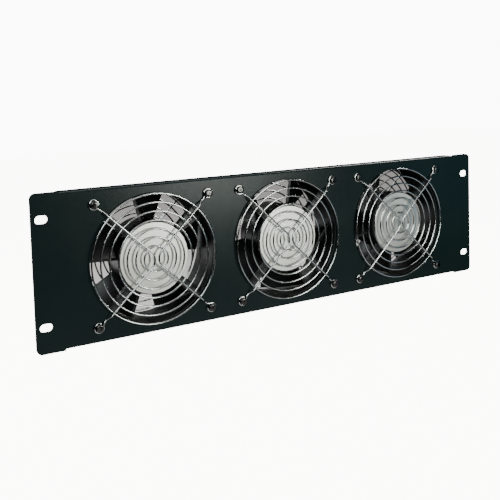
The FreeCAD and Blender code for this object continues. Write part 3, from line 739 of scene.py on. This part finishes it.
@dataclass
class WireGuard:
    """A finger guard: seven ring wires welded behind two bent spoke wires.

    Lengths are metres and angles degrees. The guard is modelled round the origin at the
    CAD levels of the left fan's front guard, and copied to every other place.
    """

    ring_count: int = 7
    first_ring: float = 11.0 * MM
    ring_pitch: float = 7.7 * MM
    ring_wire: float = 0.76 * MM
    spoke_wire: float = 0.9 * MM
    wire_sides: int = 14
    centre_gap: float = 1.9 * MM
    centre_bend: float = 10.0 * MM
    step_start: float = 13.6 * MM
    step_end: float = 9.1 * MM
    step_bend: float = 2.0 * MM
    lead_bend: float = 4.0 * MM
    eyelet_radius: float = 3.9 * MM
    eyelet_turn: float = 310.0
    weld_angles: tuple[float, float] = (77.0, 257.0)
    weld_bulge: float = 0.14 * MM
    weld_reach: float = 1.6
    bead_scale: Triple = (1.1, 0.6, 1.1)
    first_ring_steps: int = 72
    more_ring_steps: int = 12
    centre_steps: int = 16
    step_steps: int = 4
    lead_steps: int = 6
    eyelet_steps: int = 28
    smooth_angle: float = 60.0
    ring_level: float = field(init=False)
    spoke_level: float = field(init=False)
    seat_level: float = field(init=False)
    ring_wires: Object = field(init=False)
    spoke_wires: Object = field(init=False)

    def build(self) -> None:
        """Model the rings and the spokes of the first guard."""
        ring_low, ring_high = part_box(Fan.LEFT.node("front_guard_rings"))
        spoke_low, spoke_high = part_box(Fan.LEFT.node("front_guard_spokes"))
        self.ring_level = (ring_low[1] + ring_high[1]) / 2
        self.spoke_level = spoke_low[1] + self.spoke_wire
        self.seat_level = spoke_high[1] - self.spoke_wire
        self.ring_wires = self._rings()
        self.spoke_wires = self._spokes()

    def _ring_radii(self) -> list[float]:
        """Return the radius of each ring's middle line, from the smallest."""
        return [self.first_ring + self.ring_pitch * index for index in range(self.ring_count)]

    def _rings(self) -> Object:
        """Turn every ring and raise its two butt welds.

        Returns:
            The rings, as one piece.
        """
        rings = []
        for index, radius in enumerate(self._ring_radii()):
            clear_selection()
            bpy.ops.mesh.primitive_torus_add(
                major_segments=self.first_ring_steps + self.more_ring_steps * index,
                minor_segments=self.wire_sides,
                major_radius=radius,
                minor_radius=self.ring_wire,
                location=(0.0, self.ring_level, 0.0),
                rotation=(math.pi / 2, 0.0, 0.0),
            )
            ring = bpy.context.object
            settle(ring)
            welds = [self._weld_place(angle, radius) for angle in self.weld_angles]

            def is_at_weld(place: Vector, welds: list[Vector] = welds) -> bool:
                """Tell whether a point of the ring lies at one of its welds."""
                return min((place - weld).length for weld in welds) < self.ring_wire * self.weld_reach

            select_where(ring, "VERT", is_at_weld)
            bpy.ops.transform.shrink_fatten(value=self.weld_bulge)
            bpy.ops.object.mode_set(mode="OBJECT")
            rings.append(ring)
        wires = join(rings, "ring_wires")
        smooth(wires, self.smooth_angle)
        return wires

    def _weld_place(self, degrees: float, radius: float) -> Vector:
        """Return where a weld stands on the middle line of a ring."""
        angle = math.radians(degrees)
        return Vector((math.cos(angle) * radius, self.ring_level, math.sin(angle) * radius))

    def _bend_centre(self) -> Vector:
        """Return the middle of the left spoke wire's wide bend."""
        return Vector((-self.centre_gap - self.centre_bend, self.spoke_level, 0.0))

    def _arm(self, level: int) -> SpokeArm:
        """Lay out one arm of the left spoke wire.

        Args:
            level: 1 for the upper arm and -1 for the lower.

        Returns:
            The places along the arm.
        """
        bend_centre = self._bend_centre()
        screw = Vector((-HOLE_OFFSET, self.seat_level, HOLE_OFFSET * level))
        across = screw.x - bend_centre.x
        slope = math.atan2(HOLE_OFFSET, across)
        angle = slope + math.asin(self.centre_bend / math.hypot(across, HOLE_OFFSET))
        along = Vector((math.cos(angle), 0.0, math.sin(angle) * level))
        left = Vector((-along.z, 0.0, along.x))
        step_start = screw - along * self.step_start
        step_start.y = self.spoke_level
        reach = math.sqrt(self.eyelet_radius**2 + 2 * self.lead_bend * self.eyelet_radius)
        lead_start = screw - along * reach
        lead_centre = lead_start + left * self.lead_bend
        toward_lead = (lead_centre - screw).normalized()
        return SpokeArm(
            leave=bend_centre - left * (self.centre_bend * level),
            step_start=step_start,
            step_end=screw - along * self.step_end,
            lead_start=lead_start,
            lead_centre=lead_centre,
            lead_angle=left.angle(toward_lead),
            screw=screw,
            first_angle=math.atan2(toward_lead.z, toward_lead.x),
        )

    def _spokes(self) -> Object:
        """Bend the left spoke wire, turn a copy for the right and melt the welds.

        Returns:
            The two spoke wires with their welds, as one piece.
        """
        left = self._spoke_wire(self._arm(1), self._arm(-1))
        right = copy_to(left, "right_spoke_wire", Matrix.Rotation(math.pi, 4, "Y"))
        welds = join(self._weld_beads(self._arm(1)), "spoke_welds")
        mirror_to_four(welds)
        spokes = join([welds, right, left], "spoke_wires")
        smooth(spokes, self.smooth_angle)
        return spokes

    def _spoke_wire(self, upper: SpokeArm, lower: SpokeArm) -> Object:
        """Bend a spoke wire in one run, from its lower eyelet's tip to its upper one's.

        Args:
            upper: The upper arm.
            lower: The lower arm.

        Returns:
            The wire.
        """
        eyelet = math.radians(self.eyelet_turn)
        tip_angle = lower.first_angle - eyelet
        outward = Vector((math.cos(tip_angle), 0.0, math.sin(tip_angle)))
        tip = lower.screw + outward * self.eyelet_radius
        heading = Vector((-outward.z, 0.0, outward.x))
        bend_centre = self._bend_centre()
        swing = (upper.leave - bend_centre).angle(lower.leave - bend_centre)
        step = (self.step_bend, self.step_steps)
        wire = WireBender("left_spoke_wire", tip, heading, self.spoke_wire, self.wire_sides)
        wire.turn(lower.screw, TOWARDS_FRONT, eyelet, self.eyelet_steps)
        wire.turn(lower.lead_centre, TOWARDS_REAR, lower.lead_angle, self.lead_steps)
        wire.turn_corner(lower.step_end, lower.step_start, *step)
        wire.turn_corner(lower.step_start, lower.leave, *step)
        wire.run_to(lower.leave)
        wire.turn(bend_centre, TOWARDS_FRONT, swing, self.centre_steps)
        wire.turn_corner(upper.step_start, upper.step_end, *step)
        wire.turn_corner(upper.step_end, upper.lead_start, *step)
        wire.run_to(upper.lead_start)
        wire.turn(upper.lead_centre, TOWARDS_FRONT, upper.lead_angle, self.lead_steps)
        wire.turn(upper.screw, TOWARDS_REAR, eyelet, self.eyelet_steps)
        return wire.finish()

    def _weld_beads(self, arm: SpokeArm) -> list[Object]:
        """Melt a small bead where an arm crosses each ring.

        Args:
            arm: The arm.

        Returns:
            The beads.
        """
        along = (arm.step_start - arm.leave).normalized()
        start = Vector((arm.leave.x, 0.0, arm.leave.z))
        behind = start.dot(along)
        beads = []
        for radius in self._ring_radii():
            run = -behind + math.sqrt(behind**2 - start.length_squared + radius**2)
            place = start + along * run
            place.y = (self.ring_level + self.spoke_level) / 2
            clear_selection()
            bpy.ops.mesh.primitive_ico_sphere_add(
                subdivisions=2, radius=self.spoke_wire, location=place, scale=self.bead_scale
            )
            beads.append(bpy.context.object)
        return beads

    def place(self, fan: Fan, side: Side, material: Material) -> None:
        """Copy the guard to one side of one fan in place of its CAD nodes.

        Args:
            fan: The fan.
            side: The side of the fan.
            material: The wire's finish.
        """
        move = Matrix.Translation((fan.axis_x(), 0.0, 0.0))
        if side is Side.REAR:
            _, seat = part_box(Fan.LEFT.node("front_guard_spokes"))
            rear_seat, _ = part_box(fan.node("rear_guard_spokes"))
            half_turn = Matrix.Rotation(math.pi, 4, "Z")
            move = Matrix.Translation((fan.axis_x(), seat[1] + rear_seat[1], 0.0)) @ half_turn
        for kind, master in (("rings", self.ring_wires), ("spokes", self.spoke_wires)):
            name = f"{side.value}_guard_{kind[:-1]}_wires_{fan.value}"
            piece = copy_to(master, name, move)
            dress(piece, material)
            mount(piece, fan.node(f"{side.value}_guard_{kind}"))

    def clear(self) -> None:
        """Remove the masters."""
        remove(self.ring_wires, self.spoke_wires)


def mount(piece: Object, node: str) -> None:
    """Fix a piece to the panel's body in place of a CAD node.

    Args:
        piece: The finished piece.
        node: The CAD node that it stands for.
    """
    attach(piece, HOUSING_BODY)
    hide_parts(node)
    log.info("placed %s", piece.name)


# ---------------- fasteners


@dataclass
class FanFasteners:
    """The long screws and the nuts at a fan's four corners.

    Lengths are metres and angles degrees. A recess is drawn in by its taper towards its
    bottom, across each bar's length, depth and width.
    """

    head_radius: float = 3.55 * MM
    head_height: float = 2.25 * MM
    head_round: float = 1.3 * MM
    head_sides: int = 32
    head_steps: int = 5
    shank_radius: float = 1.9 * MM
    shank_sides: int = 18
    shank_bury: float = 0.2 * MM
    shank_chamfer: float = 0.4 * MM
    recess_reach: float = 2.0 * MM
    recess_width: float = 0.72 * MM
    recess_depth: float = 1.3 * MM
    recess_turn: float = 24.0
    recess_taper: Triple = (0.45, 1.0, 0.75)
    nut_flats: float = 6.9 * MM
    nut_sides: int = 6
    nut_chamfer: float = 0.35 * MM
    nut_clearance: float = 1.02
    bore_sides: int = 24
    bore_overrun: float = 1.0 * MM
    chamfer_steps: int = 2
    bevel_profile: float = 0.5
    screw_smooth: float = 35.0
    nut_smooth: float = 30.0
    front: float = field(init=False)
    end: float = field(init=False)
    nut_front: float = field(init=False)
    nut_back: float = field(init=False)
    screws: Object = field(init=False)
    nuts: Object = field(init=False)

    def build(self) -> None:
        """Model the four screws and the four nuts of one fan at the origin."""
        self.front, self.end = (corner[1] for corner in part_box(Fan.LEFT.node("fan_screws")))
        self.nut_front, self.nut_back = (corner[1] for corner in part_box(Fan.LEFT.node("fan_nuts")))
        self.screws = self._screws()
        self.nuts = self._nuts()

    def _rod(self, radius: float, start: float, end: float, sides: int) -> Object:
        """Add a rod along the fan's axis at its upper right hole.

        Args:
            radius: The rod's radius.
            start: The depth of its front end.
            end: The depth of its back end.
            sides: The number of its sides.

        Returns:
            The rod, at the origin.
        """
        clear_selection()
        bpy.ops.mesh.primitive_cylinder_add(
            vertices=sides,
            radius=radius,
            depth=end - start,
            location=(HOLE_OFFSET, (start + end) / 2, HOLE_OFFSET),
            rotation=(math.pi / 2, 0.0, 0.0),
        )
        rod = bpy.context.object
        settle(rod)
        return rod

    def _bevel_rim(self, rod: Object, depth: float, size: float, steps: int) -> None:
        """Round the rim of a rod's end.

        Args:
            rod: The rod.
            depth: The depth of the end.
            size: The width of the bevel.
            steps: The number of its steps.
        """
        select_where(rod, "EDGE", lambda place: abs(place.y - depth) < AT_DEPTH)
        bpy.ops.mesh.bevel(offset=size, segments=steps, profile=self.bevel_profile, affect="EDGES")
        bpy.ops.object.mode_set(mode="OBJECT")

    def _recess_tools(self) -> list[Object]:
        """Make the two tapered bars that cut the cross in the head.

        Returns:
            The bars.
        """
        arms = []
        for quarter in range(2):
            clear_selection()
            bpy.ops.mesh.primitive_cube_add(size=1.0)
            arm = bpy.context.object
            arm.scale = (self.recess_reach * 2, self.recess_depth * 2, self.recess_width)
            arm.location = (0.0, self.front, 0.0)
            settle(arm)
            select_where(arm, "VERT", lambda place: place.y > self.front)
            bpy.ops.transform.resize(value=self.recess_taper)
            bpy.ops.object.mode_set(mode="OBJECT")
            angle = math.radians(self.recess_turn) + math.pi / 2 * quarter
            arm.data.transform(Matrix.Rotation(angle, 4, "Y"))
            arm.data.transform(Matrix.Translation((HOLE_OFFSET, 0.0, HOLE_OFFSET)))
            arms.append(arm)
        return arms

    def _screws(self) -> Object:
        """Model a pan head with a cross recess on its shank, and mirror it.

        Returns:
            The four screws, as one piece.
        """
        under_head = self.front + self.head_height
        head = self._rod(self.head_radius, self.front, under_head, self.head_sides)
        self._bevel_rim(head, self.front, self.head_round, self.head_steps)
        for tool in self._recess_tools():
            apply_modifier(head, "BOOLEAN", object=tool, operation="DIFFERENCE", solver="EXACT")
            remove(tool)
        shank = self._rod(self.shank_radius, under_head - self.shank_bury, self.end, self.shank_sides)
        self._bevel_rim(shank, self.end, self.shank_chamfer, self.chamfer_steps)
        screws = join([shank, head], "fan_screws")
        mirror_to_four(screws)
        smooth(screws, self.screw_smooth)
        return screws

    def _nuts(self) -> Object:
        """Model a chamfered hexagon nut with a bored middle, and mirror it.

        Returns:
            The four nuts, as one piece.
        """
        corner = self.nut_flats / math.sqrt(3)
        nut = self._rod(corner, self.nut_front, self.nut_back, self.nut_sides)
        for depth in (self.nut_front, self.nut_back):
            self._bevel_rim(nut, depth, self.nut_chamfer, self.chamfer_steps)
        bore = self._rod(
            self.shank_radius * self.nut_clearance,
            self.nut_front - self.bore_overrun,
            self.nut_back + self.bore_overrun,
            self.bore_sides,
        )
        apply_modifier(nut, "BOOLEAN", object=bore, operation="DIFFERENCE", solver="EXACT")
        remove(bore)
        nut.name = "fan_nuts"
        mirror_to_four(nut)
        smooth(nut, self.nut_smooth)
        return nut

    def place(self, fan: Fan, material: Material) -> None:
        """Copy the fasteners to one fan in place of its CAD nodes.

        Args:
            fan: The fan.
            material: Their finish.
        """
        move = Matrix.Translation((fan.axis_x(), 0.0, 0.0))
        for kind, node, master in (
            ("pan_head_screws", "fan_screws", self.screws),
            ("hexagon_nuts", "fan_nuts", self.nuts),
        ):
            piece = copy_to(master, f"{kind}_{fan.value}", move)
            dress(piece, material)
            mount(piece, fan.node(node))

    def clear(self) -> None:
        """Remove the masters."""
        remove(self.screws, self.nuts)


# ---------------- dressed CAD nodes


class CadFinishes:
    """Gives the CAD nodes that stay in view their finishes."""

    PER_FAN = {
        "fan_frame": CAST_PAINT,
        "motor_disc": DISC_METAL,
        "stator_core": LAMINATIONS,
        "stator_coils": WINDING,
        "bearings": SINTERED_BRONZE,
        "rotor_cup": ROTOR_STEEL,
        "impeller": BLADE_PLASTIC,
        "rotor_shaft": GROUND_STEEL,
        "shaft_clip": GROUND_STEEL,
        "terminal_block": BLOCK_PLASTIC,
        "terminal_blades": TINNED_BRASS,
    }

    def __init__(self, groups: ShaderGroups) -> None:
        """Keep the shared shader groups, with no material made yet."""
        self.groups = groups
        self.made: dict[str, Material] = {}

    def material(self, finish: Finish, centre_x: float) -> Material:
        """Return a finish's material, made once, or once a fan where rings turn round it.

        Args:
            finish: The finish.
            centre_x: The fan's axis.

        Returns:
            The material.
        """
        key = finish.name
        if finish.relief is Relief.SPUN:
            key = f"{finish.name}_{centre_x:+.3f}"
        if key not in self.made:
            self.made[key] = finish.material(self.groups, centre_x)
        return self.made[key]

    def dress_all(self) -> None:
        """Dress the panel and every CAD node of each fan."""
        dress(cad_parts["front_panel"], self.material(PANEL_PAINT, 0.0))
        for fan in Fan:
            for kind, finish in self.PER_FAN.items():
                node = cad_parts[fan.node(kind)]
                dress(node, self.material(finish, fan.axis_x()))
                log.info("dressed %s", node.name)


# ---------------- studio


@dataclass
class Softbox:
    """One soft lamp: a lit rectangle aimed at a point. Lengths are metres."""

    name: str
    place: Triple
    aim: Triple
    width: float
    height: float
    power: float
    colour: Triple = (1.0, 1.0, 1.0)

    def build(self) -> None:
        """Hang the lamp."""
        lamp = bpy.data.lights.new(self.name, "AREA")
        lamp.shape = "RECTANGLE"
        lamp.size = self.width
        lamp.size_y = self.height
        lamp.energy = self.power
        lamp.color = self.colour
        holder = bpy.data.objects.new(self.name, lamp)
        holder.location = self.place
        towards = Vector(self.aim) - Vector(self.place)
        holder.rotation_euler = towards.to_track_quat("-Z", "Y").to_euler()
        holder.visible_camera = False
        bpy.context.collection.objects.link(holder)


@dataclass
class Studio:
    """The pale floor, the soft light and the camera."""

    camera_place: Triple = (-0.3511, -0.5736, 0.1407)
    azimuth: float = 28.64
    elevation: float = 3.77
    roll: float = -1.73
    lens: float = 50.43
    sensor_width: float = 36.0
    clip_start: float = 0.01
    shift_up: float = -0.22
    floor_drop: float = 0.30
    lamps: tuple[Softbox, ...] = (
        Softbox("key", (0.45, -1.15, 0.06), (-0.03, 0.0, 0.0), 0.32, 0.40, 7.3, (0.96, 1.0, 0.94)),
        Softbox("flash", (-0.43, -0.95, 0.36), (0.0, 0.0, 0.0), 0.42, 0.42, 4.3, (0.93, 1.0, 1.0)),
        Softbox("fill", (1.15, -1.0, -0.05), (0.13, 0.0, 0.0), 0.3, 0.4, 0.26, (0.15, 0.62, 1.0)),
        Softbox("top", (-0.05, -0.25, 0.95), (-0.05, 0.0, 0.0), 1.1, 0.6, 3.5),
        Softbox("bounce", (0.0, -0.25, -0.33), (0.0, 0.0, 0.0), 1.0, 0.45, 0.9),
        Softbox("low rear", (-0.5, 0.9, -0.2), (0.0, 0.0, 0.0), 0.6, 0.3, 0.9),
        Softbox("left rear", (-1.1, 0.9, 0.95), (0.0, 0.03, 0.0), 0.9, 0.5, 20.0),
        Softbox("right rear", (1.2, 0.75, 1.15), (0.0, 0.03, 0.0), 0.8, 0.4, 24.0),
        Softbox("back", (0.0, 0.9, 1.2), (0.0, 0.03, 0.0), 1.2, 0.5, 9.0),
    )
    floor_size: float = 12.0
    floor_tone: Triple = (0.46, 0.45, 0.44)
    floor_glow: Triple = (1.0, 0.965, 0.93)
    floor_roughness: float = 0.9
    backdrop: float = 11.0
    room_times: float = 1.25
    room_dim: float = 0.012
    room_bright: float = 0.5
    room_heights: tuple[float, float] = (0.35, 0.95)
    shade: float = 0.03
    shade_margin: float = 0.0085
    ear: float = 0.045

    def build(self) -> None:
        """Set up the studio."""
        self._floor()
        self._world()
        for lamp in self.lamps:
            lamp.build()
        self._camera()

    def _floor(self) -> None:
        """Lay a plain pale floor below the hung tray, with a shaded strip behind it."""
        clear_selection()
        bpy.ops.mesh.primitive_plane_add(size=self.floor_size, location=(0.0, 0.0, self._floor_level()))
        floor = bpy.context.object
        floor.name = "floor"
        settle(floor)
        pale = bpy.data.materials.new("pale_floor")
        pale.use_nodes = True
        bench = NodeBench(pale.node_tree)
        shaded = bench.spread(self._shade(bench), self.backdrop, self.backdrop * self.shade, 0.0, 1.0)
        surface = {
            "Base Color": (*self.floor_tone, 1.0),
            "Roughness": self.floor_roughness,
            "Emission Color": (*self.floor_glow, 1.0),
            "Emission Strength": bench.maths("MULTIPLY", bench.seen(), shaded),
        }
        bench.feed(pale.node_tree.nodes["Principled BSDF"], surface)
        floor.visible_diffuse = False
        floor.visible_glossy = False
        dress(floor, pale)

    def _floor_level(self) -> float:
        """Return the height that the floor lies at."""
        return CAD_BOX[0][2] - self.floor_drop

    def _shade(self, bench: NodeBench) -> NodeSocket:
        """Mask the strip of floor that lies behind the tray, as the main camera stands.

        The strip is grey, so the gaps between the blades look onto grey and not onto white.

        Args:
            bench: The floor material's bench.

        Returns:
            The mask, 1 in full shade.
        """
        low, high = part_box("front_panel")
        eye = Vector(self.camera_place)
        height = eye.z - self._floor_level()
        levels = (low[2], low[2] + self.shade_margin, high[2] - self.shade_margin, high[2])
        depths = [eye.y - eye.y * height / (eye.z - level) for level in levels]
        sides = (low[0], low[0] + self.ear, high[0] - self.ear, high[0])
        slants = [(side - eye.x) / -eye.y for side in sides]
        depth = bench.split(bench.place(), "Y")
        across = bench.maths("SUBTRACT", bench.split(bench.place(), "X"), eye.x)
        slant = bench.maths("DIVIDE", across, bench.maths("SUBTRACT", depth, eye.y))
        bands = []
        for value, (start, full, fading, end) in ((depth, depths), (slant, slants)):
            opening = bench.spread(value, 0.0, 1.0, start, full)
            closing = bench.spread(value, 1.0, 0.0, fading, end)
            bands.append(bench.maths("MULTIPLY", opening, closing))
        return bench.maths("MULTIPLY", *bands)

    def _world(self) -> None:
        """Light the room softly from above, and show it white to the camera."""
        world = bpy.data.worlds.new("studio")
        bpy.context.scene.world = world
        world.use_nodes = True
        bench = NodeBench(world.node_tree)
        room = world.node_tree.nodes["Background"]
        leave = world.node_tree.nodes["World Output"]
        rise = bench.split(bench.add("TexCoord", {}).outputs["Generated"], "Z")
        light = bench.spread(rise, self.room_dim, self.room_bright, *self.room_heights)
        bench.link(light, room.inputs["Strength"])
        white = bench.add("Background", {"Strength": self.backdrop * self.room_times})
        mix = bench.add("MixShader", {0: bench.seen(), 1: room.outputs[0], 2: white.outputs[0]})
        bench.link(mix.outputs[0], leave.inputs["Surface"])

    def _camera(self) -> None:
        """Stand the camera to the left of the tray, a little above its middle."""
        azimuth = math.radians(self.azimuth)
        elevation = math.radians(self.elevation)
        roll = math.radians(self.roll)
        forward = Vector((math.sin(azimuth), math.cos(azimuth), 0.0)) * math.cos(elevation)
        forward.z = -math.sin(elevation)
        level = Vector((math.cos(azimuth), -math.sin(azimuth), 0.0))
        upright = level.cross(forward)
        right = level * math.cos(roll) + upright * math.sin(roll)
        up = upright * math.cos(roll) - level * math.sin(roll)
        data = bpy.data.cameras.new("camera")
        data.lens = self.lens
        data.sensor_width = self.sensor_width
        data.shift_y = self.shift_up
        data.clip_start = self.clip_start
        camera = bpy.data.objects.new("camera", data)
        turn = Matrix((right, up, -forward)).transposed().to_4x4()
        camera.matrix_world = Matrix.Translation(self.camera_place) @ turn
        bpy.context.collection.objects.link(camera)
        bpy.context.scene.camera = camera


def main() -> None:
    """Build the guards, fasteners, finishes and studio in order."""
    logging.basicConfig(level=logging.INFO, format="%(message)s")
    groups = ShaderGroups()
    finishes = CadFinishes(groups)
    finishes.dress_all()
    chrome = finishes.material(CHROME_WIRE, 0.0)
    screw_steel = finishes.material(SCREW_STEEL, 0.0)
    guard = WireGuard()
    guard.build()
    fasteners = FanFasteners()
    fasteners.build()
    for fan in Fan:
        for side in Side:
            guard.place(fan, side, chrome)
        fasteners.place(fan, screw_steel)
    guard.clear()
    fasteners.clear()
    Studio().build()


if __name__ == "__main__":
    main()
